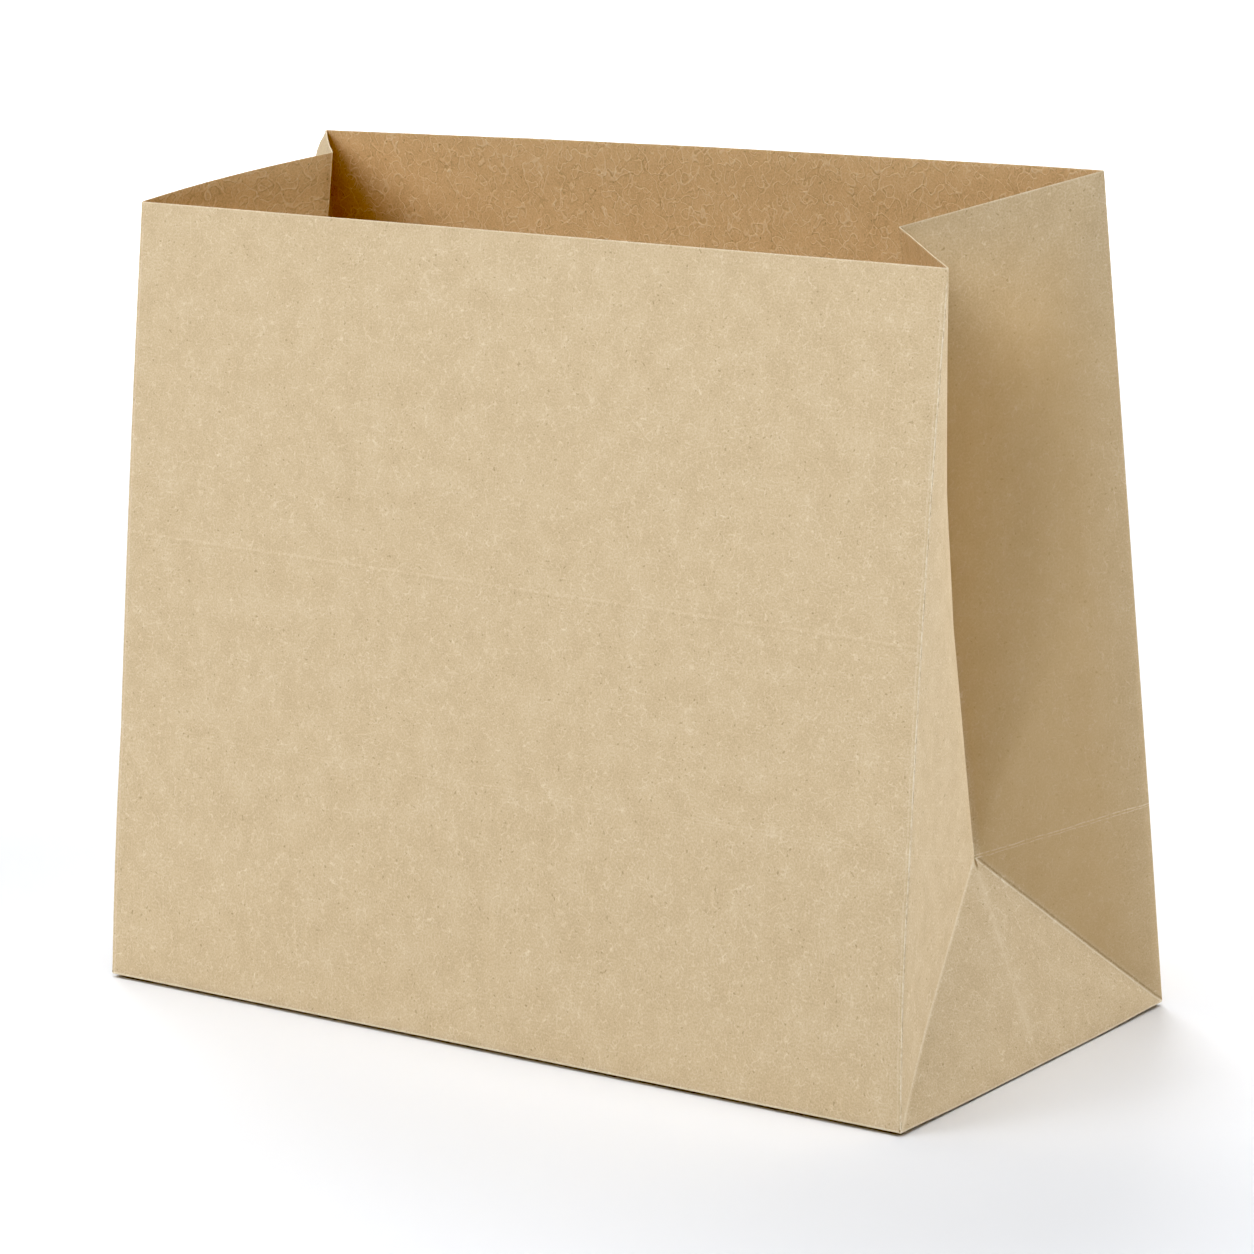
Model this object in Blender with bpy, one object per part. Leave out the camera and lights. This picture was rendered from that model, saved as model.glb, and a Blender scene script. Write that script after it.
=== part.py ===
# Brown kraft paper lunch bag, open at the top and standing on its folded square bottom.
# One sheet makes it: a wide front and back panel, a gusset on each side that tucks inwards
# along its centre crease, a base crease all round, and a bottom of overlapping glued flaps.
# Metres, +Z up, front panel towards -Y, standing on the plane z = 0.
import math

import bmesh
import bpy
from mathutils import Vector

# Sizes of the sheet
panel_width = 0.260
gusset_depth = 0.113
front_height = 0.2057
back_height = 0.2127
paper_thickness = 0.0003

# Base crease: paper height from the bottom fold, on each panel
front_base_crease = 0.0671
back_base_crease = 0.0535

# Lean of the panels towards the middle, under and over the base crease, in degrees
front_lean_low = 6.9
front_lean_high = 10.1
back_lean_low = 3.7
back_lean_high = 1.5

# Mouth: how the rims stand against the base
front_rim_sway = 0.0023
back_rim_sway = -0.0008
front_rim_slant = -0.0019
back_rim_slant = 0.0020
front_rim_turn = -0.27
back_rim_turn = -1.76
back_rim_bow = 0.0040

# Gussets: where the centre crease meets the rim, and the apex of the bottom triangle
left_tuck = 0.0367
right_tuck = 0.0384
left_rim_rise = 0.0053
right_rim_rise = -0.0044
apex_inset = 0.0168
apex_drop = 0.0057
apex_back = 0.0013

# Glued lap along the back panel, and the overlap and joggle of the bottom flaps
seam_from_left = 0.062
seam_width = 0.018
flap_overlap = 0.024
joggle_width = 0.0008

# Divisions of the panels
front_columns = 10
back_columns = 5
base_courses = 3
wall_courses = 7

kraft_color = (0.60, 0.46, 0.28, 1.0)
kraft_roughness = 0.85
merge_distance = 0.00001


def clear_scene():
    for scene_object in list(bpy.data.objects):
        bpy.data.objects.remove(scene_object, do_unlink=True)


def kraft_material():
    material = bpy.data.materials.new("kraft_paper")
    material.use_nodes = True
    shader = material.node_tree.nodes["Principled BSDF"]
    shader.inputs["Base Color"].default_value = kraft_color
    shader.inputs["Roughness"].default_value = kraft_roughness
    shader.inputs["Metallic"].default_value = 0.0
    return material


def leaned(start, length, lean_degrees):
    """Go up the paper from a point, leaning towards +Y."""
    lean = math.radians(lean_degrees)
    return start + Vector((0.0, length * math.sin(lean), length * math.cos(lean)))


def rim_corner(start, length, lean, side, sway, slant, turn_degrees):
    """Corner of a rim: the paper's end, swayed, slanted and turned about the panel's middle."""
    point = leaned(start, length, lean)
    turn = math.radians(turn_degrees)
    reach = side * panel_width / 2
    point.x = reach * math.cos(turn) + sway
    point.y += reach * math.sin(turn)
    point.z += side * slant / 2
    return point


def fold_points():
    """The fold points at the base, at the base crease and at the rim, by name."""
    base, crease, rim = {}, {}, {}
    half_depth = gusset_depth / 2
    for name, side in (("left", -1.0), ("right", 1.0)):
        reach = side * panel_width / 2
        front_foot = Vector((reach, -half_depth, 0.0))
        back_foot = Vector((reach, half_depth, 0.0))
        base["front_" + name] = front_foot
        base["back_" + name] = back_foot
        base["gusset_" + name] = Vector((reach, 0.0, 0.0))

        front_crease = leaned(front_foot, front_base_crease, front_lean_low)
        back_crease = leaned(back_foot, back_base_crease, -back_lean_low)
        crease["front_" + name] = front_crease
        crease["back_" + name] = back_crease
        crease["gusset_" + name] = Vector((reach - side * apex_inset, apex_back, half_depth - apex_drop))

        front_rim = rim_corner(front_crease, front_height - front_base_crease, front_lean_high,
                               side, front_rim_sway, front_rim_slant, front_rim_turn)
        back_rim = rim_corner(back_crease, back_height - back_base_crease, -back_lean_high,
                              side, back_rim_sway, back_rim_slant, back_rim_turn)
        rim["front_" + name] = front_rim
        rim["back_" + name] = back_rim
        tuck = left_tuck if side < 0 else right_tuck
        rise = left_rim_rise if side < 0 else right_rim_rise
        rim["gusset_" + name] = (front_rim + back_rim) / 2 + Vector((-side * tuck, 0.0, rise))
    return base, crease, rim


def back_shares():
    """Places of the columns across the back panel, from its right corner to its left one."""
    lap_start = 1.0 - (seam_from_left + seam_width) / panel_width
    lap_end = 1.0 - seam_from_left / panel_width
    before = [lap_start * step / back_columns for step in range(back_columns)]
    after = [lap_end + (1.0 - lap_end) * step / back_columns for step in range(back_columns + 1)]
    return before + [lap_start] + after


def course(low, high, share, folds_rise, bow):
    """One level round the bag, anticlockwise from the front left corner.

    The bottom triangle's folds rise from the corners to the gusset's centre. Over the base
    crease each half gusset bends the other way, from the centre to the rim's corner.
    """
    def column(name):
        return low[name].lerp(high[name], share)

    def bend(corner, gusset):
        if folds_rise:
            return low[corner].lerp(high[gusset], share)
        return low[gusset].lerp(high[corner], share)

    front = [column("front_left").lerp(column("front_right"), step / front_columns)
             for step in range(front_columns + 1)]
    right = [bend("front_right", "gusset_right"), column("gusset_right"),
             bend("back_right", "gusset_right")]
    back = []
    for place in back_shares():
        point = column("back_right").lerp(column("back_left"), place)
        point.y += bow * math.sin(math.pi * place)
        back.append(point)
    left = [bend("back_left", "gusset_left"), column("gusset_left"),
            bend("front_left", "gusset_left")]
    return front + right + back + left


def extrude_to(bm, ring, points):
    """Extrude a ring of vertices to the next level and return the new ring."""
    edges = []
    for index, vertex in enumerate(ring):
        edges.append(bm.edges.get((vertex, ring[(index + 1) % len(ring)])))
    below = set(bm.verts)
    bmesh.ops.extrude_edge_only(bm, edges=edges)
    raised = []
    for vertex, point in zip(ring, points):
        for edge in vertex.link_edges:
            other = edge.other_vert(vertex)
            if other not in below:
                other.co = point
                raised.append(other)
    return raised


def fold_walls(bm):
    """Panels and gussets: a ring at the base, extruded level by level to the rim."""
    base, crease, rim = fold_points()
    ring = [bm.verts.new(point) for point in course(base, crease, 0.0, True, 0.0)]
    for index, vertex in enumerate(ring):
        bm.edges.new((vertex, ring[(index + 1) % len(ring)]))
    for step in range(1, base_courses + 1):
        ring = extrude_to(bm, ring, course(base, crease, step / base_courses, True, 0.0))
    for step in range(1, wall_courses + 1):
        share = step / wall_courses
        ring = extrude_to(bm, ring, course(crease, rim, share, False, back_rim_bow * share))
    bmesh.ops.remove_doubles(bm, verts=bm.verts[:], dist=merge_distance)


def fold_bottom(bm):
    """Bottom: an end triangle on each side, with the back flap and the front flap over them.

    The flaps lie level, so that the bag stands on both. A narrow strip stays between them, round
    the front flap's free end, where the back flap joggles up under it.
    """
    lap = flap_overlap / 2
    meet_x = (panel_width - gusset_depth) / 2
    foot = [vertex for vertex in bm.verts if vertex.co.z < merge_distance]
    front = sorted((v for v in foot if v.co.y < -merge_distance), key=lambda v: v.co.x)
    back = sorted((v for v in foot if v.co.y > merge_distance), key=lambda v: v.co.x)
    ends = sorted((v for v in foot if abs(v.co.y) <= merge_distance), key=lambda v: v.co.x)

    def pair(inward, along):
        """A vertex on each side, this far in from the meeting points and this far to the back."""
        return [bm.verts.new((side * (meet_x - inward), along, 0.0)) for side in (-1, 1)]

    meet = pair(0.0, 0.0)
    flap_end = pair(lap, lap)
    back_meet = pair(-joggle_width, joggle_width)
    joggle_end = pair(lap - joggle_width, lap + joggle_width)
    bm.faces.new(front + [meet[1], flap_end[1], flap_end[0], meet[0]])
    bm.faces.new(back + [back_meet[1], joggle_end[1], joggle_end[0], back_meet[0]])
    bm.faces.new((flap_end[0], flap_end[1], joggle_end[1], joggle_end[0]))
    for side in (0, 1):
        bm.faces.new((meet[side], flap_end[side], joggle_end[side], back_meet[side]))
        bm.faces.new((front[-side], meet[side], back_meet[side], back[-side], ends[side]))
    bmesh.ops.recalc_face_normals(bm, faces=bm.faces[:])


def give_thickness(bag):
    """Give the folded sheet its thickness, inwards from its outer side."""
    solidify = bag.modifiers.new("Paper thickness", "SOLIDIFY")
    solidify.thickness = paper_thickness
    solidify.offset = -1.0
    solidify.use_even_offset = True
    bpy.context.view_layer.objects.active = bag
    bpy.ops.object.modifier_apply(modifier=solidify.name)


def raise_layer(bm, faces, direction):
    """Lay one more thickness of paper over some faces."""
    extruded = bmesh.ops.extrude_face_region(bm, geom=faces)["geom"]
    lifted = [item for item in extruded if isinstance(item, bmesh.types.BMVert)]
    bmesh.ops.delete(bm, geom=faces, context="FACES")
    bmesh.ops.translate(bm, verts=lifted, vec=direction * paper_thickness)


def add_glued_layers(bag):
    """The flaps under the bottom, and the lap seam up the outside of the back."""
    bm = bmesh.new()
    bm.from_mesh(bag.data)
    bm.normal_update()
    lap_left = seam_from_left - panel_width / 2
    lap_right = lap_left + seam_width
    under = []
    seam = []
    for face in bm.faces:
        center = face.calc_center_bounds()
        if face.normal.z < -0.99:
            under.append(face)
        if face.normal.y > 0.8 and center.y > 0.0 and lap_left < center.x < lap_right:
            seam.append(face)
    flaps = sorted(under, key=lambda face: face.calc_area())[-2:]
    raise_layer(bm, seam, Vector((0.0, 1.0, 0.0)))
    raise_layer(bm, flaps, Vector((0.0, 0.0, -1.0)))
    bm.to_mesh(bag.data)
    bm.free()


def stand_on_origin(bag):
    """Put the middle of the bag's outer box over the origin, with its bottom at z = 0."""
    places = [vertex.co for vertex in bag.data.vertices]
    low = Vector([min(place[axis] for place in places) for axis in range(3)])
    high = Vector([max(place[axis] for place in places) for axis in range(3)])
    foot = Vector(((low.x + high.x) / 2, (low.y + high.y) / 2, low.z))
    for vertex in bag.data.vertices:
        vertex.co -= foot


def make_bag():
    mesh = bpy.data.meshes.new("paper_bag")
    bag = bpy.data.objects.new("paper_bag", mesh)
    bpy.context.collection.objects.link(bag)
    bm = bmesh.new()
    fold_walls(bm)
    fold_bottom(bm)
    bm.to_mesh(mesh)
    bm.free()
    give_thickness(bag)
    add_glued_layers(bag)
    stand_on_origin(bag)
    mesh.materials.append(kraft_material())
    return bag


clear_scene()
make_bag()
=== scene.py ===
# Brown kraft paper lunch bag, open at the top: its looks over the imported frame.
import math

import bmesh
import bpy
from mathutils import Matrix, Vector, noise


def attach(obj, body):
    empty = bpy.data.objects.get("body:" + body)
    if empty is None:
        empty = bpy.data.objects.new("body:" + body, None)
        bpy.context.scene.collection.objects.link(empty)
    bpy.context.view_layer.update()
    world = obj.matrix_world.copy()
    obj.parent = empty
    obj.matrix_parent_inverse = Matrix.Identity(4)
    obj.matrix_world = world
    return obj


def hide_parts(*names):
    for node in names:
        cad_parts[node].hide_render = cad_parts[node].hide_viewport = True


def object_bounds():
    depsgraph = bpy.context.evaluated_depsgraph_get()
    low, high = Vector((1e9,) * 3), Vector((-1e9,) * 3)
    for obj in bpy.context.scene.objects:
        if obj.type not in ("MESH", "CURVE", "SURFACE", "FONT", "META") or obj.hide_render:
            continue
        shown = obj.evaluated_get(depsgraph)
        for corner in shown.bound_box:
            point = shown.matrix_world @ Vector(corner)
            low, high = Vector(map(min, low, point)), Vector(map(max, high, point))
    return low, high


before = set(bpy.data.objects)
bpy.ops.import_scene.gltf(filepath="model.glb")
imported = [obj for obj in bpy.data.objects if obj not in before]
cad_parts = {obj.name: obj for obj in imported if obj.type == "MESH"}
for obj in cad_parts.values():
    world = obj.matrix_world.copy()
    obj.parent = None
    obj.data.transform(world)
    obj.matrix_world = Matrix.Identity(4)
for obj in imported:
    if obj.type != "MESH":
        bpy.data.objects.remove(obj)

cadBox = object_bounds()
print("frame loaded, CAD box", [round(size, 4) for size in cadBox[1] - cadBox[0]])

# Sizes of the folded sheet (metres, degrees): the part's own, with the rims trimmed to the photo
bag = {
    "panelWidth": 0.260,
    "gussetDepth": 0.113,
    "frontHeight": 0.2057,
    "backHeight": 0.2129,
    "paperThickness": 0.0003,
    "frontBaseCrease": 0.0671,
    "backBaseCrease": 0.0535,
    "frontLeanLow": 6.9,
    "frontLeanHigh": 10.1,
    "backLeanLow": 3.7,
    "backLeanHigh": 1.5,
    "frontRimSway": 0.0023,
    "backRimSway": -0.0008,
    "frontRimSlant": -0.0019,
    "backRimSlant": 0.0025,
    "frontRimTurn": -0.27,
    "backRimTurn": -1.76,
    "backRimBow": 0.0040,
    "leftTuck": 0.0353,
    "rightTuck": 0.0377,
    "leftRimRise": 0.0050,
    "rightRimRise": -0.0041,
    "apexInset": 0.0168,
    "apexDrop": 0.0057,
    "apexBack": 0.0013,
    "seamFromLeft": 0.062,
    "seamWidth": 0.018,
    "flapOverlap": 0.024,
    # levels of the sheet from the base crease up, as shares, and cuts in each cell
    "levelShares": (0.0, 0.36, 0.68, 1.0),
    "cuts": 20,
    # the same levels on the flat sheet, which the paper's pattern follows
    "flatCrease": 0.060,
    "flatHeight": 0.209,
    # the paper's unevenness, which fades out towards the folds
    "cockle": 0.00030,
    "cockleSize": 0.045,
    "cockleFade": 0.02,
    # how far the bottom folds stand off the ground, and how far in and up that reaches
    "frontLift": 0.0006,
    "sideLift": 0.00015,
    "liftFadeUp": 0.03,
    "liftFadeIn": 0.012,
    # small shifts and bows of the folded corners
    "frontKneeOut": 0.0006,
    "frontLeftKneeBack": 0.0031,
    "backRightOut": 0.0005,
    "cornerBow": 0.0007,
    "leftCornerBow": 0.0005,
    "cornerBowReach": 0.045,
    "leftGussetBow": 0.0030,
    "leftTabBulge": 0.0045,
    "tabGrowth": 0.004,
    "tabReach": 0.09,
    "ridgeBow": 0.0011,
    # the round crests of the folds, the soft bends of the gussets, and the shading's angle
    "foldWidth": 0.00035,
    "bendReach": 0.022,
    "smoothAngle": 28.0,
}

halfWidth = bag["panelWidth"] / 2
halfDepth = bag["gussetDepth"] / 2

# The flat map shows the walls up to wallEnd, and the bottom apart from them, about bottomMiddle
wallEnd = 0.8
bottomMiddle = 1.0

# Points closer than this are taken as one, and nearly is the allowance in comparisons (metres)
mergeDistance = 0.00001
nearly = 0.0001

# Columns of the sheet, anticlockwise from above, starting at the lap's outer edge
columnNames = ["lapOuter", "backLeft", "bendBackLeft", "gussetLeft", "bendFrontLeft", "frontLeft",
               "front1", "front2", "front3", "front4", "frontRight", "bendFrontRight",
               "gussetRight", "bendBackRight", "backRight", "back1", "back2", "lapInner"]
lapOuterX = bag["seamFromLeft"] - halfWidth
lapInnerX = lapOuterX + bag["seamWidth"]
acrossX = {
    "lapOuter": lapOuterX,
    "lapInner": lapInnerX,
    "back2": lapInnerX + (halfWidth - lapInnerX) / 3,
    "back1": lapInnerX + (halfWidth - lapInnerX) * 2 / 3,
}
acrossX.update(front1=lapOuterX, front2=lapInnerX, front3=acrossX["back2"], front4=acrossX["back1"])


def leaned(start, length, leanDegrees):
    # a point further up the paper, leaning towards +Y
    lean = math.radians(leanDegrees)
    return start + Vector((0.0, length * math.sin(lean), length * math.cos(lean)))


def rimCorner(start, length, lean, side, sway, slant, turnDegrees):
    # corner of a rim: the paper's end, swayed, slanted and turned about the panel's middle
    point = leaned(start, length, lean)
    turn = math.radians(turnDegrees)
    point.x = side * halfWidth * math.cos(turn) + sway
    point.y += side * halfWidth * math.sin(turn)
    point.z += side * slant / 2
    return point


def foldPoints():
    # the points of the folds at the foot, at the base crease and at the rim
    foot, crease, rim = {}, {}, {}
    for name, side in (("Left", -1.0), ("Right", 1.0)):
        frontFoot = Vector((side * halfWidth, -halfDepth, 0.0))
        backFoot = Vector((side * halfWidth, halfDepth, 0.0))
        foot["front" + name] = frontFoot
        foot["back" + name] = backFoot
        foot["gusset" + name] = Vector((side * halfWidth, bag["apexBack"], 0.0))
        frontCrease = leaned(frontFoot, bag["frontBaseCrease"], bag["frontLeanLow"])
        backCrease = leaned(backFoot, bag["backBaseCrease"], -bag["backLeanLow"])
        crease["front" + name] = frontCrease
        crease["back" + name] = backCrease
        crease["gusset" + name] = Vector((side * (halfWidth - bag["apexInset"]), bag["apexBack"],
                                          halfDepth - bag["apexDrop"]))
        frontRim = rimCorner(frontCrease, bag["frontHeight"] - bag["frontBaseCrease"],
                             bag["frontLeanHigh"], side, bag["frontRimSway"],
                             bag["frontRimSlant"], bag["frontRimTurn"])
        backRim = rimCorner(backCrease, bag["backHeight"] - bag["backBaseCrease"],
                            -bag["backLeanHigh"], side, bag["backRimSway"],
                            bag["backRimSlant"], bag["backRimTurn"])
        if side < 0:
            frontCrease.y += bag["frontLeftKneeBack"]
        else:
            frontCrease.x += bag["frontKneeOut"]
            backCrease.x += bag["backRightOut"]
            backRim.x += bag["backRightOut"]
        rim["front" + name] = frontRim
        rim["back" + name] = backRim
        tuck = bag["leftTuck"] if side < 0 else bag["rightTuck"]
        rise = bag["leftRimRise"] if side < 0 else bag["rightRimRise"]
        rim["gusset" + name] = (frontRim + backRim) / 2 + Vector((-side * tuck, 0.0, rise))
    return foot, crease, rim


foot, crease, rim = foldPoints()


def cagePoint(name, level):
    # where a column of the sheet stands at one level; the lowest level is the foot
    low, high, share = crease, rim, bag["levelShares"][level - 1]
    if level == 0:
        low, high, share = foot, foot, 0.0
    if name.startswith("bend"):
        corner = name[4].lower() + name[5:]
        middle = "gusset" + ("Left" if name.endswith("Left") else "Right")
        return foot[corner].copy() if level == 0 else crease[middle].lerp(rim[corner], share)
    if name in acrossX:
        row = "front" if name.startswith("front") else "back"
        place = (acrossX[name] + halfWidth) / bag["panelWidth"]
        left = low[row + "Left"].lerp(high[row + "Left"], share)
        right = low[row + "Right"].lerp(high[row + "Right"], share)
        return left.lerp(right, place)
    return low[name].lerp(high[name], share)


def flatPlace(name, level, overLap):
    # the same point on the flat sheet: distance round the bag, and height
    share = bag["levelShares"][level - 1] if level else 0.0
    height = bag["flatCrease"] + (bag["flatHeight"] - bag["flatCrease"]) * share if level else 0.0
    side = -1.0 if name.endswith("Left") or name == "lapOuter" else 1.0
    if name.startswith("front") and name in acrossX:
        return acrossX[name], height
    if name == "lapOuter" and not overLap:
        return -(halfWidth + 2 * halfDepth + bag["seamFromLeft"]), height
    if name in acrossX:
        return halfWidth + 2 * halfDepth + (halfWidth - acrossX[name]), height
    aroundTo = {"front": halfWidth, "gusset": halfWidth + halfDepth,
                "back": halfWidth + 2 * halfDepth}
    if name.startswith("bend"):
        corner = aroundTo["front" if "Front" in name else "back"]
        return side * (corner + (aroundTo["gusset"] - corner) * (1 - share) * (level > 0)), height
    kind = name.replace("Left", "").replace("Right", "")
    return side * aroundTo[kind], height


def pick(piece, kind, wanted):
    # select the vertices, edges or faces that pass the test, in edit mode
    bpy.ops.mesh.select_mode(type=kind)
    bpy.ops.mesh.select_all(action="DESELECT")
    sheet = bmesh.from_edit_mesh(piece.data)
    for part in {"VERT": sheet.verts, "EDGE": sheet.edges, "FACE": sheet.faces}[kind]:
        if wanted(part):
            part.select_set(True)
    sheet.select_flush_mode()
    bmesh.update_edit_mesh(piece.data)


def edgeMiddle(edge):
    return (edge.verts[0].co + edge.verts[1].co) / 2


def makeTube():
    # a plain tube, one side to a column, with its rim extruded level by level
    step = 0.05
    bpy.ops.object.select_all(action="DESELECT")
    bpy.ops.mesh.primitive_cylinder_add(vertices=len(columnNames), radius=0.1, depth=step,
                                        end_fill_type="NOTHING", location=(0, 0, step / 2))
    piece = bpy.context.object
    piece.name = "kraftBag"
    piece.data.name = "kraftBag"
    bpy.ops.object.transform_apply(location=True, rotation=False, scale=False)
    bpy.ops.object.mode_set(mode="EDIT")
    pick(piece, "EDGE", lambda edge: edgeMiddle(edge).z > step * 0.99)
    for level in bag["levelShares"][1:]:
        bpy.ops.mesh.extrude_edges_move(TRANSFORM_OT_translate={"value": (0, 0, step)})
    bpy.ops.object.mode_set(mode="OBJECT")
    return piece, step


def foldTube(piece, step):
    # move each vertex of the tube to its place on the folded sheet, and lay out its flat map
    wedge = math.tau / len(columnNames)
    places = []
    for vertex in piece.data.vertices:
        turn = (math.atan2(vertex.co.y, vertex.co.x) - math.pi / 2) % math.tau
        places.append((round(turn / wedge) % len(columnNames), round(vertex.co.z / step)))
    flatMap = piece.data.uv_layers[0]
    flatMap.name = "flatSheet"
    lastColumn = len(columnNames) - 1
    for face in piece.data.polygons:
        overLap = {places[index][0] for index in face.vertices} == {0, lastColumn}
        for loop in face.loop_indices:
            column, level = places[piece.data.loops[loop].vertex_index]
            flatMap.data[loop].uv = flatPlace(columnNames[column], level, overLap)
    for vertex, (column, level) in zip(piece.data.vertices, places):
        vertex.co = cagePoint(columnNames[column], level)
    bpy.ops.object.mode_set(mode="EDIT")
    bpy.ops.mesh.select_all(action="SELECT")
    bpy.ops.mesh.remove_doubles(threshold=mergeDistance)


def closeBottom(piece):
    # each long side's foot is extruded to the middle line, and the ends are filled
    narrow = (halfWidth - halfDepth) / halfWidth
    for side in (-1, 1):
        pick(piece, "EDGE", lambda edge: abs(edgeMiddle(edge).y - side * halfDepth) < nearly
             and edgeMiddle(edge).z < nearly)
        bpy.ops.mesh.extrude_edges_move(TRANSFORM_OT_translate={"value": (0, -side * halfDepth, 0)})
        bpy.ops.transform.resize(value=(narrow, 1, 1), center_override=(0, 0, 0))
    bpy.ops.mesh.select_all(action="SELECT")
    bpy.ops.mesh.remove_doubles(threshold=mergeDistance)
    for side in (-1, 1):
        pick(piece, "VERT", lambda vertex: vertex.co.z < nearly
             and side * vertex.co.x > halfWidth - halfDepth - nearly
             and (abs(abs(vertex.co.y) - halfDepth) > nearly
                  or side * vertex.co.x > halfWidth - nearly))
        bpy.ops.mesh.edge_face_add()
        pick(piece, "VERT", lambda vertex: vertex.co.z < nearly and abs(vertex.co.y) < halfDepth / 2
             and side * vertex.co.x > halfWidth - halfDepth - nearly)
        bpy.ops.mesh.vert_connect_path()
    bpy.ops.mesh.select_all(action="SELECT")
    bpy.ops.mesh.normals_make_consistent(inside=False)
    bpy.ops.object.mode_set(mode="OBJECT")
    flatMap = piece.data.uv_layers[0]
    for face in piece.data.polygons:
        if face.center.z < nearly:
            for loop in face.loop_indices:
                point = piece.data.vertices[piece.data.loops[loop].vertex_index].co
                flatMap.data[loop].uv = (bottomMiddle + point.x, point.y)


def flatOf(mesh):
    # each vertex's place on the flat sheet
    places = [None] * len(mesh.vertices)
    flatMap = mesh.uv_layers[0]
    for loop in mesh.loops:
        places[loop.vertex_index] = flatMap.data[loop.index].uv.copy()
    return places


def fade(distance, reach):
    # 0 at no distance, smoothly up to 1 at the reach
    share = min(max(distance / reach, 0.0), 1.0)
    return share * share * (3 - 2 * share)


def diagonalGap(u, v):
    # distance on the sheet from the half gusset's diagonal, over or under the base crease
    across = abs(abs(u) - halfWidth - halfDepth)
    if v < bag["flatCrease"]:
        rise = bag["flatCrease"]
        line = halfDepth * (1 - v / rise)
    else:
        rise = bag["flatHeight"] - bag["flatCrease"]
        line = halfDepth * (v - bag["flatCrease"]) / rise
    return abs(across - line) * rise / math.hypot(rise, halfDepth)


def foldGap(u, v):
    # distance on the sheet from the nearest fold
    around = abs(u)
    gaps = [abs(around - halfWidth), abs(around - halfWidth - 2 * halfDepth), v,
            abs(v - bag["flatCrease"])]
    if halfWidth < around < halfWidth + 2 * halfDepth:
        gaps += [abs(around - halfWidth - halfDepth), diagonalGap(u, v)]
    return min(gaps)


def footLift(x, y):
    # the bottom folds stand a little off the ground, less so at the middles of the short sides
    alongX = (halfWidth - abs(x)) / halfWidth
    alongY = (halfDepth - abs(y)) / halfDepth
    onSide = fade(alongY, 0.5) if alongX < 0.02 else 0.0
    return bag["frontLift"] - (bag["frontLift"] - bag["sideLift"]) * onSide


def foldBow(u, v):
    # small bows of the front corners, the left gusset and the base's ridges
    side = math.copysign(1.0, u)
    level = bag["flatCrease"]
    share = v / level if v < level else (v - level) / (bag["flatHeight"] - level)
    swell = math.sin(math.pi * share)
    nearCorner = 1 - fade(abs(abs(u) - halfWidth), bag["cornerBowReach"])
    cornerBow = bag["cornerBow" if side > 0 else "leftCornerBow"]
    bow = Vector((-cornerBow * swell * nearCorner, 0.0, 0.0))
    if v < level and halfWidth < abs(u) < halfWidth + halfDepth:
        across = abs(u) - halfWidth
        line = halfDepth * share
        beyond = (halfDepth - across) / max(halfDepth - line, 1e-6)
        near = across / line if across < line else beyond
        bow.y -= bag["ridgeBow"] * swell * min(max(near, 0.0), 1.0)
    if v > level and -halfWidth > u > -halfWidth - halfDepth:
        across = (-u - halfWidth) / halfDepth
        bow.x -= bag["leftGussetBow"] * share * share * math.sin(math.pi * across)
    if -halfWidth - 2 * halfDepth < u < -halfWidth - halfDepth:
        fall = bag["flatHeight"] - v
        across = (u + halfWidth + 2 * halfDepth) / halfDepth
        down = (1 - math.exp(-fall / bag["tabGrowth"])) * (1 - fade(fall, bag["tabReach"]))
        bow.x -= bag["leftTabBulge"] * down * fade(across, 0.12) * (1 - fade(across, 1.0))
    return bow


def settlePaper(piece):
    # bow of the back rim, unevenness of the sheet, and the set of the foot on the ground
    mesh = piece.data
    flat = flatOf(mesh)
    normals = [vertex.normal.copy() for vertex in mesh.vertices]
    for vertex, normal, (u, v) in zip(mesh.vertices, normals, flat):
        if u > wallEnd:
            edgeGap = min(halfWidth - abs(vertex.co.x), halfDepth - abs(vertex.co.y))
            vertex.co.z += footLift(vertex.co.x, vertex.co.y) * (1 - fade(edgeGap, bag["liftFadeIn"]))
            continue
        place = (vertex.co.x + halfWidth) / bag["panelWidth"]
        lift = footLift(vertex.co.x, vertex.co.y) if v < nearly else None
        if abs(u) > halfWidth + 2 * halfDepth - nearly and v > bag["flatCrease"]:
            share = (v - bag["flatCrease"]) / (bag["flatHeight"] - bag["flatCrease"])
            vertex.co.y += bag["backRimBow"] * share * math.sin(math.pi * min(max(place, 0), 1))
        if lift is not None:
            vertex.co.z += lift
        elif v < bag["liftFadeUp"]:
            vertex.co.z += footLift(vertex.co.x, vertex.co.y) * (1 - fade(v, bag["liftFadeUp"])) * 0.5
        spot = Vector((u, v, 0.0)) / bag["cockleSize"]
        vertex.co += foldBow(u, v)
        wave = noise.noise(spot) + 0.5 * noise.noise(spot * 2.1 + Vector((7.0, 3.0, 0.0)))
        vertex.co += normal * wave * bag["cockle"] * fade(foldGap(u, v), bag["cockleFade"])


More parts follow.
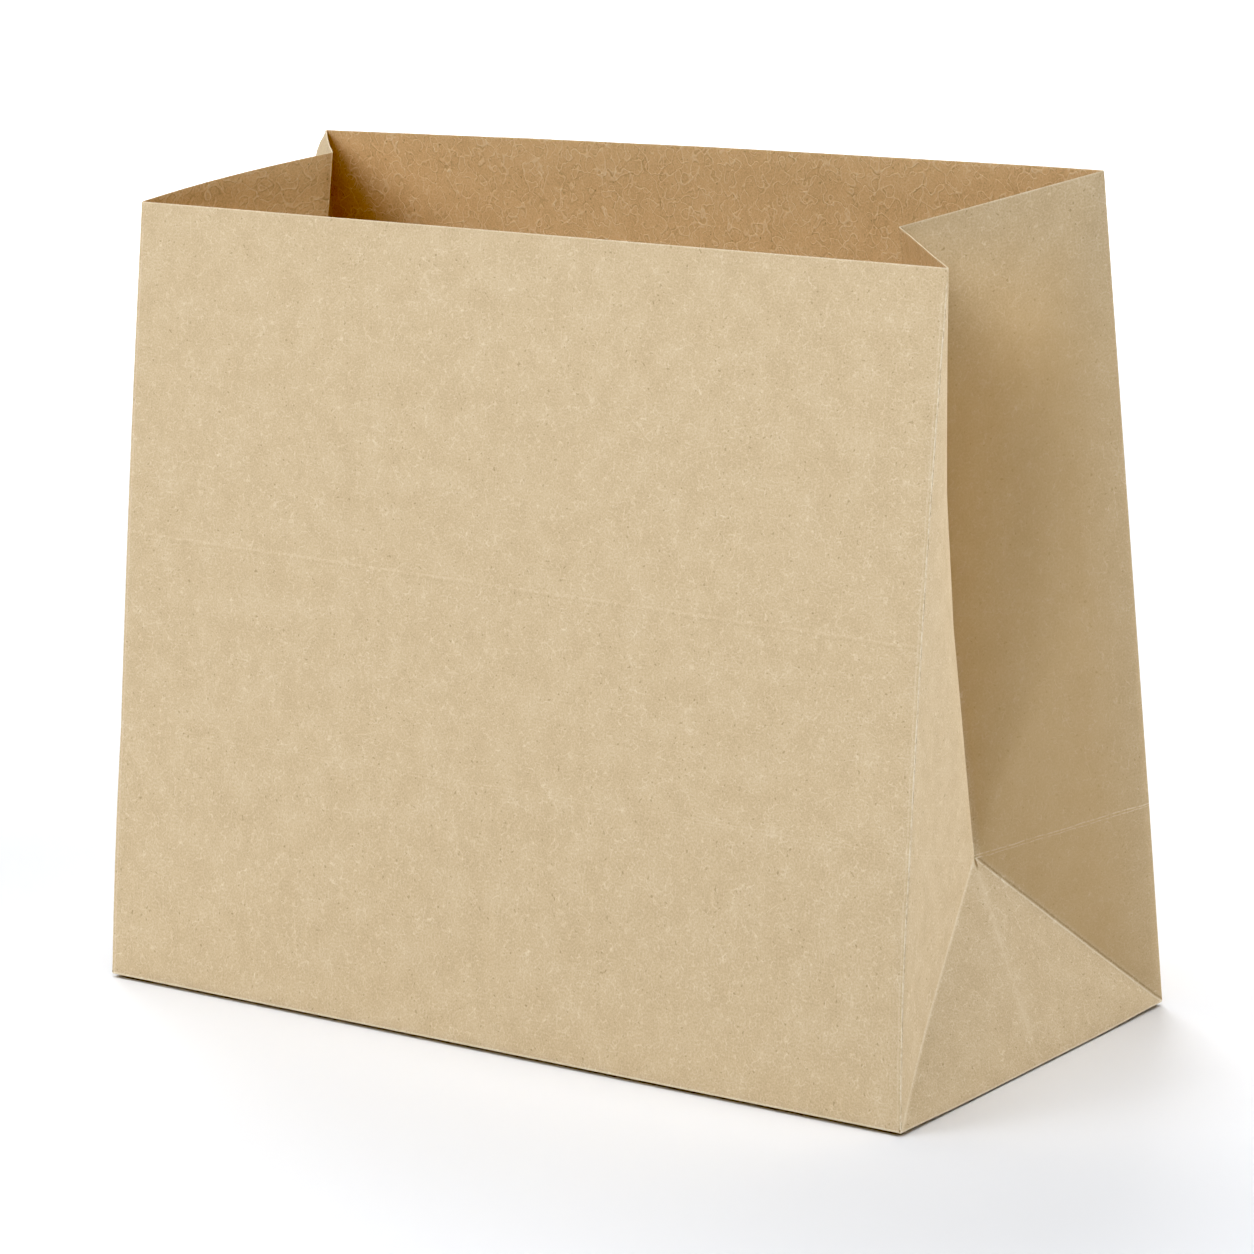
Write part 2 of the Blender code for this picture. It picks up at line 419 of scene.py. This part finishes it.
def roundBends(piece):
    # the gussets curve softly across their upper diagonals: a parabola in place of each kink
    flat = flatOf(piece.data)
    for vertex, (u, v) in zip(piece.data.vertices, flat):
        if u > wallEnd or v <= bag["flatCrease"] or not halfWidth < abs(u) < halfWidth + 2 * halfDepth:
            continue
        share = (v - bag["flatCrease"]) / (bag["flatHeight"] - bag["flatCrease"])
        inner = halfDepth * share
        outer = halfDepth - inner
        fromCentre = abs(u) - halfWidth - halfDepth
        reach = min(bag["bendReach"], inner, outer)
        gap = abs(abs(fromCentre) - inner)
        if reach < 0.0005 or gap >= reach:
            continue
        side = "Right" if u > 0 else "Left"
        corner = ("back" if fromCentre > 0 else "front") + side
        middle = "gusset" + side
        centrePoint = crease[middle].lerp(rim[middle], share)
        bendPoint = crease[middle].lerp(rim[corner], share)
        cornerPoint = crease[corner].lerp(rim[corner], share)
        kink = (cornerPoint - bendPoint) / outer - (bendPoint - centrePoint) / inner
        vertex.co += kink * (reach - gap) ** 2 / (4 * reach)


def roundFolds(piece):
    # the pressed folds get a narrow round crest
    flat = flatOf(piece.data)

    def onFold(edge):
        first, second = (flat[vertex.index] for vertex in edge.verts)
        middle = edgeMiddle(edge)
        low = max(vertex.co.z for vertex in edge.verts) < 0.003
        if low and all(place.x > wallEnd or place.y < nearly for place in (first, second)):
            return (abs(middle.x) > halfWidth - 2 * nearly
                    or abs(middle.y) > halfDepth - 2 * nearly)
        if first.x > wallEnd or second.x > wallEnd:
            return False
        around = [abs(place.x) for place in (first, second)]
        corner = halfWidth if around[0] < halfWidth + halfDepth else halfWidth + 2 * halfDepth
        if max(abs(one - corner) for one in around) < nearly:
            return True
        if min(first.y, second.y) > bag["flatCrease"] - nearly:
            return max(abs(one - halfWidth - halfDepth) for one in around) < nearly
        return (max(diagonalGap(*first), diagonalGap(*second)) < nearly
                and max(first.y, second.y) < bag["flatCrease"] + nearly)

    bpy.ops.object.mode_set(mode="EDIT")
    pick(piece, "EDGE", onFold)
    bpy.ops.mesh.bevel(offset=bag["foldWidth"], offset_type="OFFSET", segments=2,
                       affect="EDGES", clamp_overlap=True)
    bpy.ops.object.mode_set(mode="OBJECT")


def giveThickness(piece):
    # thickness goes inwards; the inside and the cut rim get materials of their own
    solidify = piece.modifiers.new("paper", "SOLIDIFY")
    solidify.thickness = bag["paperThickness"]
    solidify.offset = -1.0
    solidify.use_even_offset = True
    solidify.thickness_clamp = 1.0
    solidify.material_offset = 1
    solidify.material_offset_rim = 2
    bpy.context.view_layer.objects.active = piece
    bpy.ops.object.modifier_apply(modifier=solidify.name)


def makeBag():
    piece, step = makeTube()
    foldTube(piece, step)
    closeBottom(piece)
    bpy.ops.object.mode_set(mode="EDIT")
    bpy.ops.mesh.select_all(action="SELECT")
    bpy.ops.mesh.subdivide(number_cuts=bag["cuts"])
    bpy.ops.object.mode_set(mode="OBJECT")
    print("bag folded:", len(piece.data.polygons), "faces")
    roundBends(piece)
    piece.data.update()
    settlePaper(piece)
    roundFolds(piece)
    print("folds rounded:", len(piece.data.polygons), "faces")
    return piece


def standOnFrame(piece):
    # the sheet's front foot and the middle of its width go where the CAD bag has them
    outer = [foot["frontLeft"], foot["frontRight"], rim["frontLeft"], rim["frontRight"],
             rim["backLeft"], rim["backRight"]]
    middle = (min(point.x for point in outer) + max(point.x for point in outer)) / 2
    shift = Vector(((cadBox[0].x + cadBox[1].x) / 2 - middle, cadBox[0].y + halfDepth,
                    cadBox[0].z + bag["paperThickness"]))
    for vertex in piece.data.vertices:
        vertex.co += shift
    return shift


def valueNode(tree, operation, *values):
    node = tree.nodes.new("ShaderNodeMath")
    node.operation = operation
    for socket, value in zip(node.inputs, values):
        if isinstance(value, bpy.types.NodeSocket):
            tree.links.new(value, socket)
        else:
            socket.default_value = value
    return node.outputs[0]


def plus(tree, first, second):
    return valueNode(tree, "ADD", first, second)


def minus(tree, first, second):
    return valueNode(tree, "SUBTRACT", first, second)


def times(tree, first, second):
    return valueNode(tree, "MULTIPLY", first, second)


def rampNode(tree, value, low, high, toLow=0.0, toHigh=1.0):
    # a smooth step from one value to another
    node = tree.nodes.new("ShaderNodeMapRange")
    node.interpolation_type = "SMOOTHSTEP"
    ends = (("From Min", low), ("From Max", high), ("To Min", toLow), ("To Max", toHigh))
    for name, number in ends:
        node.inputs[name].default_value = number
    tree.links.new(value, node.inputs["Value"])
    return node.outputs[0]


def lineNode(tree, distance, centre, reach, strength):
    # a soft line along the sheet, strongest at its centre
    away = valueNode(tree, "ABSOLUTE", minus(tree, distance, centre))
    return rampNode(tree, away, 0.0, reach, strength, 0.0)


def addAll(tree, values):
    total = values[0]
    for value in values[1:]:
        total = plus(tree, total, value)
    return total


def noiseNode(tree, place, size, detail=2.0, roughness=0.5, w=0.0):
    node = tree.nodes.new("ShaderNodeTexNoise")
    node.noise_dimensions = "4D"
    node.inputs["W"].default_value = w
    node.inputs["Scale"].default_value = 1.0 / size
    node.inputs["Detail"].default_value = detail
    node.inputs["Roughness"].default_value = roughness
    tree.links.new(place, node.inputs["Vector"])
    return node.outputs["Fac"]


def mixColor(tree, share, first, second):
    node = tree.nodes.new("ShaderNodeMix")
    node.data_type = "RGBA"
    node.clamp_factor = True
    # of a color mix's sockets, 0 is the share, 6 and 7 are the colors and output 2 is the result
    for socket, value in ((node.inputs[0], share), (node.inputs[6], first), (node.inputs[7], second)):
        if isinstance(value, bpy.types.NodeSocket):
            tree.links.new(value, socket)
        else:
            socket.default_value = value
    return node.outputs[2]


kraft = {
    "base": (0.66, 0.523, 0.338, 1.0),
    "light": (0.88, 0.79, 0.63, 1.0),
    "dark": (0.34, 0.23, 0.12, 1.0),
    # painted shade: colour and share of the shade painted into the gussets' back halves
    "recessShade": (0.58, 0.40, 0.20, 1.0),
    "recessShadeShare": 0.60,
    # painted light and shade: the inside's colours are redder and more saturated than the outside's,
    # making up for the little light inside the bag and standing in for its brown shade
    "insideBase": (0.79, 0.555, 0.305, 1.0),
    "insideLight": (0.94, 0.79, 0.56, 1.0),
    # the cut edge's paler colour, partly a painted highlight of the lit edge
    "cut": (0.80, 0.68, 0.48, 1.0),
    "cutRoughness": 0.95,
    "cutSpecular": 0.1,
    "cutGrain": 0.0006,
    "roughness": 0.88,
    "specular": 0.25,
    "cloudSize": 0.008,
    "cloudTone": 0.10,
    "fibreSize": 0.0017,
    "fibreTone": 0.34,
    "curlSize": 0.0042,
    "curlTone": 0.22,
    "grainSize": 0.0005,
    "grainTone": 0.26,
    "speckSize": 0.0009,
    "speckTone": 0.45,
    "toneShift": -0.05,
    # reaches of the painted shade in the gussets' back halves
    "recessShadeEdge": 0.003,
    "recessShadeCorner": 0.02,
    "recessShadeRim": 0.045,
    "bumpStrength": 0.4,
    "bumpDistance": 0.0001,
    "imprintHeight": 0.1157,
    "imprintFall": 0.0024,
}

# Fold marks, worn lines with painted highlights and painted shade among them: place beside the fold
# and reach in metres, and strength, which is dark below 0
foldMarks = {
    "cornerLight": (-0.00012, 0.00034, 1.1),
    # painted shade in the groove beside the corner's worn line
    "cornerGrooveShade": (0.00024, 0.00018, -1.3),
    "cornerEdge": (0.00052, 0.00028, 0.45),
    "cornerFar": (-0.0011, 0.0004, 0.22),
    "backCorner": (0.00020, 0.00040, 0.7),
    "gussetCentre": (0.0, 0.0005, 0.40),
    # painted highlight along the soft ridge of the triangle's centre
    "triangleRidgeHighlight": (0.0, 0.0030, 0.12),
    "triangleLine": (0.0, 0.0007, 0.12),
    "frontDiagonal": (0.0, 0.0009, 0.40),
    "backDiagonalLight": (-0.0001, 0.0004, 0.60),
    # painted shadow under the back diagonal's fold edge
    "backDiagonalShadow": (0.0006, 0.0005, -0.60),
    "creaseUpper": (0.00040, 0.00024, 1.25),
    "creaseLower": (-0.00034, 0.00022, 1.0),
    # painted highlight and painted shade of the faint pressed line
    "imprintHighlight": (0.0, 0.0006, 0.16),
    "imprintShade": (-0.0009, 0.0007, -0.08),
    # painted highlights: the lit round of the bottom fold and the lit rim
    "footHighlight": (0.00035, 0.00050, 0.7),
    "rimHighlight": (bag["flatHeight"], 0.0005, 0.6),
    # painted shade of the pinched slit at the gusset's apex
    "slitShadeAcross": (0.0001, 0.0007, -1.6),
    "slitShadeUp": (-0.0012, 0.0030, 1.0),
    # painted shade of a pinhole at the foot of the front corner
    "pinholeShadeAcross": (-0.0003, 0.0004, -2.5),
    "pinholeShadeUp": (0.0006, 0.0005, 1.0),
}


def wanderNode(tree, place, size, swing, w):
    # how far a worn line strays from its fold
    return times(tree, minus(tree, noiseNode(tree, place, size, 2.0, 0.5, w), 0.5), swing)


def foldLines(tree, place, u, v, inside):
    # light worn lines along the folds, with painted highlights and thin lines of painted shade among
    # them, by place on the flat sheet
    def mark(name, distance):
        return lineNode(tree, distance, *foldMarks[name])

    wander = wanderNode(tree, place, 0.007, 0.0009, 9)
    otherWander = wanderNode(tree, place, 0.005, 0.0010, 10)
    gaps = rampNode(tree, noiseNode(tree, place, 0.0012, 2.0, 0.6, 11), 0.36, 0.62, 0.25, 1.2)
    dashes = rampNode(tree, noiseNode(tree, place, 0.0018, 1.0, 0.5, 12), 0.48, 0.60)

    # distances from the folds, and which part of the sheet this is
    around = valueNode(tree, "ABSOLUTE", u)
    onWall = rampNode(tree, v, 0.00002, 0.00012)
    frontCorner = minus(tree, around, halfWidth)
    backCorner = minus(tree, around, halfWidth + 2 * halfDepth)
    centre = minus(tree, around, halfWidth + halfDepth)
    onBackHalf = rampNode(tree, centre, -0.0006, 0.0006)
    onFrontHalf = minus(tree, 1.0, onBackHalf)
    fromCentre = valueNode(tree, "ABSOLUTE", centre)
    inGusset = rampNode(tree, fromCentre, halfDepth - 0.0004, halfDepth, 1.0, 0.0)
    overCrease = rampNode(tree, v, bag["flatCrease"] - 0.0008, bag["flatCrease"] + 0.0008)
    underCrease = minus(tree, 1.0, overCrease)
    belowRim = rampNode(tree, v, bag["flatHeight"] - 0.010, bag["flatHeight"] - 0.002, 1.0, 0.35)
    creaseGap = minus(tree, v, bag["flatCrease"])
    toDiagonal = times(tree, creaseGap, -halfDepth / bag["flatCrease"])
    # 0.72 turns the distance across the sheet into one square to the diagonal
    diagonal = times(tree, minus(tree, fromCentre, toDiagonal), 0.72)
    backDiagonal = plus(tree, diagonal, times(tree, wander, 0.5))

    # the corner's worn lines, with painted shade in the groove beside them
    cornerLines = times(tree, addAll(tree, [
        times(tree, mark("cornerLight", frontCorner), gaps),
        times(tree, mark("cornerGrooveShade", frontCorner), dashes),
        mark("cornerEdge", frontCorner),
        mark("cornerFar", plus(tree, frontCorner, wander)),
        mark("backCorner", backCorner),
    ]), belowRim)
    centreLines = times(tree, mark("gussetCentre", centre), overCrease)
    # the back diagonal's worn line and the painted shadow beside it
    backDiagonalWearAndShadow = plus(tree, mark("backDiagonalLight", backDiagonal),
                         mark("backDiagonalShadow", backDiagonal))
    # the bottom triangles' lines: a painted highlight along the centre ridge, worn lines, and the back
    # diagonal's painted shadow
    triangleLines = times(tree, addAll(tree, [
        mark("triangleRidgeHighlight", centre),
        times(tree, mark("triangleLine", plus(tree, centre, wander)), gaps),
        times(tree, mark("frontDiagonal", diagonal), onFrontHalf),
        times(tree, backDiagonalWearAndShadow, onBackHalf),
    ]), underCrease)

    # the base crease is worn most on the gussets' back halves
    creaseLines = plus(tree, mark("creaseUpper", plus(tree, creaseGap, wander)),
                       mark("creaseLower", plus(tree, creaseGap, otherWander)))
    creaseShare = plus(tree, 0.12, times(tree, times(tree, inGusset, onBackHalf), 0.88))
    creaseLines = times(tree, times(tree, creaseLines, gaps), creaseShare)

    # a faint pressed line falls slightly across the panels, drawn as a painted highlight with painted
    # shade below it
    fall = times(tree, plus(tree, u, halfWidth), kraft["imprintFall"] / bag["panelWidth"])
    offImprint = plus(tree, minus(tree, v, kraft["imprintHeight"]), fall)
    offImprint = plus(tree, offImprint, wander)
    imprint = plus(tree, mark("imprintHighlight", offImprint), mark("imprintShade", offImprint))
    imprint = times(tree, times(tree, imprint, gaps), minus(tree, 1.0, inGusset))

    # painted highlights along the foot and the rim
    edges = plus(tree, mark("footHighlight", v), mark("rimHighlight", v))
    # painted shade of the pinched slit at the apex
    slitShade = times(tree, mark("slitShadeAcross", centre), mark("slitShadeUp", creaseGap))
    # painted shade of the pinhole at the front corner's foot
    pinholeShade = times(tree, mark("pinholeShadeAcross", frontCorner), mark("pinholeShadeUp", v))
    lines = addAll(tree, [cornerLines, centreLines, triangleLines, creaseLines, imprint, edges,
                          slitShade, pinholeShade])
    return times(tree, times(tree, lines, onWall), 0.5 if inside else 1.0)


def curls(tree, place, size, reach, w, cut=0.45, shade=0.0):
    # thin curly fibres: the level lines of a noise, broken into short pieces
    level = noiseNode(tree, place, size, 0.6, 0.5, w)
    line = lineNode(tree, level, 0.5, reach, 1.0)
    if shade:
        # painted shadow: a darker line beside the curl
        line = minus(tree, line, lineNode(tree, level, 0.535, reach, shade))
    pieces = rampNode(tree, noiseNode(tree, place, size * 1.1, 1.0, 0.5, w + 0.5), cut, cut + 0.15)
    return times(tree, line, pieces)


def recessShadeShare(tree, u, v):
    # painted shade: the gussets' back halves, deep in the folds, are painted darker and browner, less
    # so by the corner and by the rim
    around = valueNode(tree, "ABSOLUTE", u)
    underCrease = valueNode(tree, "MAXIMUM", 0.0, times(
        tree, minus(tree, bag["flatCrease"], v), halfDepth / bag["flatCrease"]))
    backHalfFrom = plus(tree, halfWidth + halfDepth, underCrease)
    onBackHalf = rampNode(tree, minus(tree, around, backHalfFrom), 0.0, kraft["recessShadeEdge"])
    offRim = rampNode(tree, v, bag["flatHeight"] - kraft["recessShadeRim"], bag["flatHeight"], 1.0, 0.05)
    backCorner = halfWidth + 2 * halfDepth
    offCorner = rampNode(tree, around, backCorner - kraft["recessShadeCorner"], backCorner,
                         kraft["recessShadeShare"], kraft["recessShadeShare"] * 0.5)
    return times(tree, times(tree, onBackHalf, offRim), offCorner)


def kraftPaper(name, inside):
    # kraft paper: cloudy tone, short curled fibres, fine grain, dark specks and worn folds, with
    # painted light and shade along some folds, painted shadows beside the inside's curls, and painted
    # shade in the gussets' back halves outside
    material = bpy.data.materials.new(name)
    material.use_nodes = True
    tree = material.node_tree
    shader = tree.nodes["Principled BSDF"]
    shader.inputs["Roughness"].default_value = kraft["roughness"]
    shader.inputs["Specular IOR Level"].default_value = kraft["specular"]
    flatMap = tree.nodes.new("ShaderNodeUVMap")
    flatMap.uv_map = "flatSheet"
    parts = tree.nodes.new("ShaderNodeSeparateXYZ")
    tree.links.new(flatMap.outputs["UV"], parts.inputs[0])
    u, v = parts.outputs["X"], parts.outputs["Y"]
    place = flatMap.outputs["UV"]
    w = 50.0 if inside else 0.0
    curlSize = kraft["curlSize"]

    clouds = noiseNode(tree, place, kraft["cloudSize"], 3.0, 0.6, w)
    grain = noiseNode(tree, place, kraft["grainSize"], 2.0, 0.6, w + 1)
    fibres = curls(tree, place, kraft["fibreSize"], 0.030, w + 2)
    moreFibres = curls(tree, place, kraft["fibreSize"] * 1.4, 0.022, w + 3)
    if inside:
        # the inside shows a closer net of curls, each with a painted shadow line beside it
        bigCurls = plus(tree, curls(tree, place, curlSize, 0.026, w + 4, 0.36, 0.45),
                        curls(tree, place, curlSize * 0.8, 0.026, w + 5, 0.36, 0.45))
    else:
        bigCurls = curls(tree, place, curlSize, 0.022, w + 4)
    specks = rampNode(tree, noiseNode(tree, place, kraft["speckSize"], 0.0, 0.5, w + 6), 0.75, 0.81)

    curlStrength = 1.9 if inside else 1.0
    cloudTone, grainTone = kraft["cloudTone"], kraft["grainTone"]
    tone = addAll(tree, [
        rampNode(tree, clouds, 0.28, 0.72, -cloudTone, cloudTone),
        rampNode(tree, grain, 0.2, 0.8, -grainTone, grainTone),
        times(tree, fibres, kraft["fibreTone"]),
        times(tree, moreFibres, kraft["fibreTone"] * 0.8),
        times(tree, bigCurls, kraft["curlTone"] * curlStrength),
        times(tree, specks, -kraft["speckTone"]),
        foldLines(tree, place, u, v, inside),
        kraft["toneShift"],
    ])
    base, light = ("insideBase", "insideLight") if inside else ("base", "light")
    lighter = mixColor(tree, tone, kraft[base], kraft[light])
    color = mixColor(tree, times(tree, tone, -1.0), lighter, kraft["dark"])
    if not inside:
        # painted shade in the gussets' back halves
        color = mixColor(tree, recessShadeShare(tree, u, v), color, kraft["recessShade"])
    tree.links.new(color, shader.inputs["Base Color"])

    height = addAll(tree, [
        times(tree, grain, 0.25),
        times(tree, fibres, 0.45),
        times(tree, bigCurls, 0.6 * curlStrength),
    ])
    bump = tree.nodes.new("ShaderNodeBump")
    bump.inputs["Strength"].default_value = kraft["bumpStrength"]
    bump.inputs["Distance"].default_value = kraft["bumpDistance"]
    tree.links.new(height, bump.inputs["Height"])
    tree.links.new(bump.outputs["Normal"], shader.inputs["Normal"])
    return material


def cutPaper():
    # the cut edge of the sheet, rougher than its faces and paler, the paleness partly its own and
    # partly a painted highlight of the lit edge
    material = bpy.data.materials.new("cutEdge")
    material.use_nodes = True
    tree = material.node_tree
    shader = tree.nodes["Principled BSDF"]
    shader.inputs["Roughness"].default_value = kraft["cutRoughness"]
    shader.inputs["Specular IOR Level"].default_value = kraft["cutSpecular"]
    place = tree.nodes.new("ShaderNodeTexCoord").outputs["Object"]
    grain = noiseNode(tree, place, kraft["cutGrain"], 2.0, 0.6)
    color = mixColor(tree, rampNode(tree, grain, 0.3, 0.7, 0.0, 0.35), kraft["cut"], kraft["base"])
    tree.links.new(color, shader.inputs["Base Color"])
    return material


def raiseLayer(piece, wanted, lift, flush):
    # one more layer of paper over the picked faces, running out level where flush says so
    pick(piece, "FACE", wanted)
    bpy.ops.mesh.extrude_region_move(TRANSFORM_OT_translate={"value": lift})
    sheet = bmesh.from_edit_mesh(piece.data)
    for vertex in sheet.verts:
        if vertex.select and flush(vertex):
            vertex.co -= Vector(lift)
    bmesh.update_edit_mesh(piece.data)
    bpy.ops.mesh.select_all(action="SELECT")
    bpy.ops.mesh.remove_doubles(threshold=mergeDistance)


def lapSeam(piece):
    # the glued lap up the back, with its free edge outside
    innerEdge = 2 * halfWidth + 2 * halfDepth - lapInnerX
    bpy.ops.object.mode_set(mode="EDIT")
    flatLayer = bmesh.from_edit_mesh(piece.data).loops.layers.uv[0]

    def onLap(face):
        middle = sum(loop[flatLayer].uv.x for loop in face.loops) / len(face.loops)
        return face.material_index == 0 and face.normal.y > 0.8 and innerEdge < middle < wallEnd

    def atInnerEdge(vertex):
        return any(abs(loop[flatLayer].uv.x - innerEdge) < nearly for loop in vertex.link_loops)

    raiseLayer(piece, onLap, (0, bag["paperThickness"], 0), atInnerEdge)
    bpy.ops.object.mode_set(mode="OBJECT")


def bottomFlaps(piece):
    # the flaps glued over the bottom's end triangles, the front flap's free end over the back one
    bpy.ops.object.mode_set(mode="EDIT")
    flatLayer = bmesh.from_edit_mesh(piece.data).loops.layers.uv[0]

    def onFlap(face, low, high):
        across = sum(loop[flatLayer].uv.x for loop in face.loops) / len(face.loops) - bottomMiddle
        along = sum(loop[flatLayer].uv.y for loop in face.loops) / len(face.loops)
        return (face.material_index == 0 and face.normal.z < -0.8 and across > wallEnd - bottomMiddle
                and low < along < high and abs(across) < halfWidth - halfDepth + abs(along))

    def atFoot(vertex):
        return any(loop[flatLayer].uv.x > wallEnd
                   and abs(loop[flatLayer].uv.y) > halfDepth - 2 * bag["foldWidth"]
                   for loop in vertex.link_loops)

    freeEnd = bag["flapOverlap"] / 2 + 0.0005
    for low, high, share in ((-halfDepth, freeEnd, 1.0), (freeEnd, halfDepth, 0.6)):
        raiseLayer(piece, lambda face: onFlap(face, low, high),
                   (0, 0, -bag["paperThickness"] * share), atFoot)
    bpy.ops.object.mode_set(mode="OBJECT")


piece = makeBag()
shift = standOnFrame(piece)
for material in (kraftPaper("kraftOutside", False), kraftPaper("kraftInside", True), cutPaper()):
    piece.data.materials.append(material)
giveThickness(piece)
lapSeam(piece)
bottomFlaps(piece)
bpy.ops.object.select_all(action="DESELECT")
piece.select_set(True)
bpy.ops.object.shade_smooth_by_angle(angle=math.radians(bag["smoothAngle"]))
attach(piece, "root")
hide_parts("paper_bag")
print("bag finished:", len(piece.data.polygons), "faces")

# The camera stands where the photograph was taken from (pixels of its 1254 frame, degrees)
view = {
    "azimuth": 39.61,
    "elevation": 13.66,
    "roll": -3.51,
    "focalPixels": 5066.0,
    "distance": 1.2914,
    "aimHeight": 0.1051,
    "aimPixel": (597.6, 597.7),
    "framePixels": 1254.0,
}


def placeCamera(shift):
    turn, rise, roll = (math.radians(view[name]) for name in ("azimuth", "elevation", "roll"))
    back = Vector((math.sin(turn) * math.cos(rise), -math.cos(turn) * math.cos(rise), math.sin(rise)))
    right = Vector((math.cos(turn), math.sin(turn), 0.0))
    up = back.cross(right)
    rolledRight = right * math.cos(roll) + up * math.sin(roll)
    rolledUp = up * math.cos(roll) - right * math.sin(roll)
    aim = Vector((shift.x, shift.y, view["aimHeight"]))
    perPixel = view["distance"] / view["focalPixels"]
    middle = view["framePixels"] / 2
    data = bpy.data.cameras.new("camera")
    data.sensor_width = 36.0
    data.lens = view["focalPixels"] / view["framePixels"] * data.sensor_width
    data.clip_start = 0.05
    data.clip_end = 60.0
    camera = bpy.data.objects.new("camera", data)
    bpy.context.collection.objects.link(camera)
    camera.matrix_world = Matrix((rolledRight, rolledUp, back)).transposed().to_4x4()
    asideBy = (view["aimPixel"][0] - middle) * perPixel
    aboveBy = (middle - view["aimPixel"][1]) * perPixel
    camera.location = aim + back * view["distance"] - rolledRight * asideBy - rolledUp * aboveBy
    bpy.context.scene.camera = camera


# Soft boxes: degrees from the front towards the right, degrees up, metres off, metres wide, watts
studio = {
    "bagBoxes": {
        "leftFrontBox": (-60.0, 35.0, 2.6, 1.2, 17.0),
        "frontBox": (0.0, 45.0, 6.6, 3.0, 217.0),
        "rightFrontBox": (50.0, 45.0, 6.6, 3.0, 38.0),
        "topBox": (0.0, 89.0, 6.6, 3.0, 165.0),
        "backRightBox": (150.0, 20.0, 6.6, 3.0, 330.0),
    },
    "floorBoxes": {
        "floorTopBox": (0.0, 89.0, 6.6, 3.0, 262.0),
        "floorBackLeftBox": (-135.0, 45.0, 6.6, 3.0, 200.0),
        "floorLeftBox": (-45.0, 45.0, 6.6, 3.0, 66.0),
        "floorFrontBox": (20.0, 45.0, 6.6, 3.0, 42.0),
        "floorRightBox": (90.0, 45.0, 6.6, 3.0, 78.0),
    },
    "floorColor": (0.942, 0.962, 1.0, 1.0),
    "floorSize": 40.0,
    "farFloorGlow": 0.5,
    "glowFrom": 0.5,
    "glowTo": 1.6,
    "blackLevel": 0.04,
}


def softBox(name, target, turnDegrees, riseDegrees, distance, size, power):
    # a square soft light that falls on one object alone
    turn, rise = math.radians(turnDegrees), math.radians(riseDegrees)
    away = Vector((math.sin(turn) * math.cos(rise), -math.cos(turn) * math.cos(rise), math.sin(rise)))
    data = bpy.data.lights.new(name, "AREA")
    data.energy = power
    data.size = size
    light = bpy.data.objects.new(name, data)
    bpy.context.collection.objects.link(light)
    light.location = Vector((0.0, 0.0, 0.1)) + away * distance
    light.rotation_euler = away.to_track_quat("Z", "Y").to_euler()
    lit = bpy.data.collections.new(name + "Target")
    lit.objects.link(target)
    light.light_linking.receiver_collection = lit


def makeStudio():
    world = bpy.data.worlds.new("studio")
    world.use_nodes = True
    world.node_tree.nodes["Background"].inputs["Strength"].default_value = 0.0
    bpy.context.scene.world = world
    bpy.ops.mesh.primitive_plane_add(size=studio["floorSize"], location=(0, 0, 0))
    floor = bpy.context.object
    floor.name = "floor"
    for boxes, target in ((studio["bagBoxes"], piece), (studio["floorBoxes"], floor)):
        for name, settings in boxes.items():
            softBox(name, target, *settings)
    material = bpy.data.materials.new("floorWhite")
    material.use_nodes = True
    tree = material.node_tree
    shader = tree.nodes["Principled BSDF"]
    shader.inputs["Base Color"].default_value = studio["floorColor"]
    shader.inputs["Roughness"].default_value = 0.9
    shader.inputs["Specular IOR Level"].default_value = 0.0
    # away from the bag the floor runs out to plain white
    away = tree.nodes.new("ShaderNodeVectorMath")
    away.operation = "LENGTH"
    tree.links.new(tree.nodes.new("ShaderNodeTexCoord").outputs["Object"], away.inputs[0])
    glow = rampNode(tree, away.outputs["Value"], studio["glowFrom"], studio["glowTo"],
                    0.0, studio["farFloorGlow"])
    shader.inputs["Emission Color"].default_value = (1.0, 1.0, 1.0, 1.0)
    tree.links.new(glow, shader.inputs["Emission Strength"])
    floor.data.materials.append(material)
    settings = bpy.context.scene.view_settings
    settings.view_transform = "Standard"
    settings.use_curve_mapping = True
    settings.curve_mapping.black_level = (studio["blackLevel"],) * 3
    settings.curve_mapping.white_level = (1.0 + studio["blackLevel"],) * 3
    settings.curve_mapping.update()


placeCamera(shift)
makeStudio()
print("camera and studio set")
